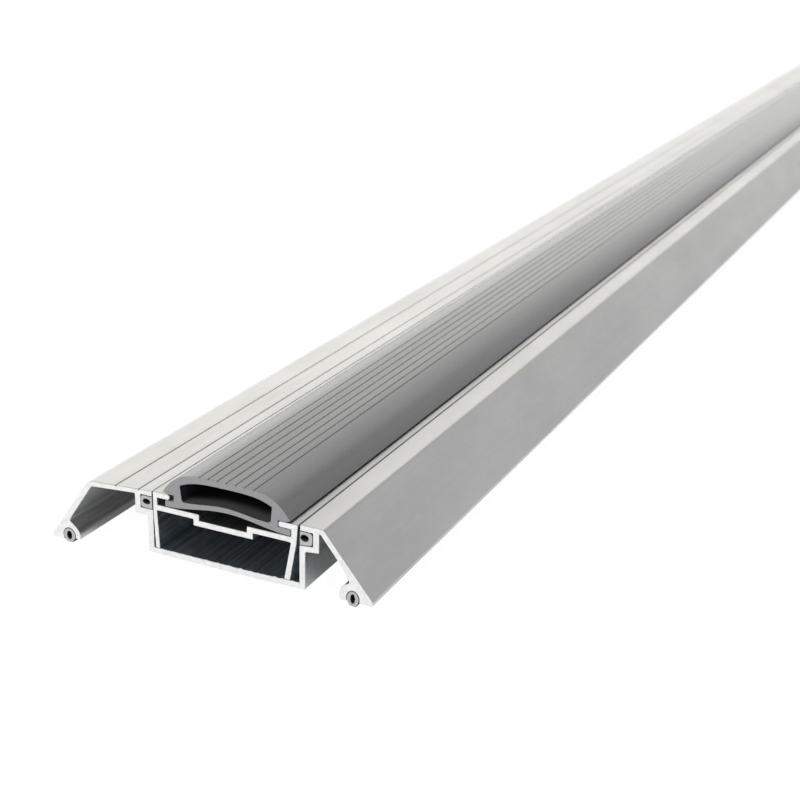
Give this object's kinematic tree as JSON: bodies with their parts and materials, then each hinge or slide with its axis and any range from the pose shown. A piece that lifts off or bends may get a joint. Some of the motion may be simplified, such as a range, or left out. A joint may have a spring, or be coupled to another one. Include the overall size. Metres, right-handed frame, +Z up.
{
  "type": "adjustable door threshold strip",
  "caption": "Aluminium door threshold with two ramps and a height-adjustable riser that carries a soft hollow domed seal.",
  "frame": {"origin": "centre of the base channel's underside, which rests on the sill, halfway along the strip", "axes": "+Z up, Y along the doorway, +X across the doorway towards the interior"},
  "size_m": [0.0948, 1, 0.0273],
  "materials": {
    "base_aluminium": "mill finish extrusion with fine die lines, saw-cut ends",
    "riser_aluminium": "mill finish extrusion with fine die lines, saw-cut ends",
    "seal_vinyl": "smooth satin grey vinyl with fine grip grooves",
    "gasket_vinyl": "satin grey vinyl",
    "bead_vinyl": "satin grey vinyl",
    "zinc_steel": "bright zinc plate",
    "spring_steel": "phosphated spring steel",
    "standoff_steel": "zinc plate"
  },
  "bodies": {
    "base": {"base_extrusion": "base_aluminium", "exterior_riser_gasket": "gasket_vinyl", "interior_riser_gasket": "gasket_vinyl", "exterior_toe_bead": "bead_vinyl", "interior_toe_bead": "bead_vinyl", "threaded_standoff_1": "standoff_steel", "threaded_standoff_2": "standoff_steel", "threaded_standoff_3": "standoff_steel", "threaded_standoff_4": "standoff_steel", "threaded_standoff_5": "standoff_steel"},
    "riser": {"riser_extrusion": "riser_aluminium", "top_seal": "seal_vinyl"},
    "screw_1": {"adjusting_screw_1": "zinc_steel", "retaining_ring_1": "spring_steel"},
    "screw_2": {"adjusting_screw_2": "zinc_steel", "retaining_ring_2": "spring_steel"},
    "screw_3": {"adjusting_screw_3": "zinc_steel", "retaining_ring_3": "spring_steel"},
    "screw_4": {"adjusting_screw_4": "zinc_steel", "retaining_ring_4": "spring_steel"},
    "screw_5": {"adjusting_screw_5": "zinc_steel", "retaining_ring_5": "spring_steel"}
  },
  "joints": [
    {"name": "riser_lift", "type": "slide", "parent": "base", "child": "riser", "axis": [0, 0, 1], "range_m": [0, 0.00635]},
    {"name": "screw_turn_1", "type": "hinge", "parent": "riser", "child": "screw_1", "pos_m": [-0.0005, -0.376, 0.012], "axis": [0, 0, 1], "range_deg": [0, 2860]},
    {"name": "screw_turn_2", "type": "hinge", "parent": "riser", "child": "screw_2", "pos_m": [-0.0005, -0.188, 0.012], "axis": [0, 0, 1], "range_deg": [0, 2860]},
    {"name": "screw_turn_3", "type": "hinge", "parent": "riser", "child": "screw_3", "pos_m": [-0.0005, 0, 0.012], "axis": [0, 0, 1], "range_deg": [0, 2860]},
    {"name": "screw_turn_4", "type": "hinge", "parent": "riser", "child": "screw_4", "pos_m": [-0.0005, 0.188, 0.012], "axis": [0, 0, 1], "range_deg": [0, 2860]},
    {"name": "screw_turn_5", "type": "hinge", "parent": "riser", "child": "screw_5", "pos_m": [-0.0005, 0.376, 0.012], "axis": [0, 0, 1], "range_deg": [0, 2860]}
  ],
  "couplings": [
    {"joint": "screw_turn_1", "follows": "riser_lift", "rad_per_m": 7854},
    {"joint": "screw_turn_2", "follows": "riser_lift", "rad_per_m": 7854},
    {"joint": "screw_turn_3", "follows": "riser_lift", "rad_per_m": 7854},
    {"joint": "screw_turn_4", "follows": "riser_lift", "rad_per_m": 7854},
    {"joint": "screw_turn_5", "follows": "riser_lift", "rad_per_m": 7854}
  ]
}
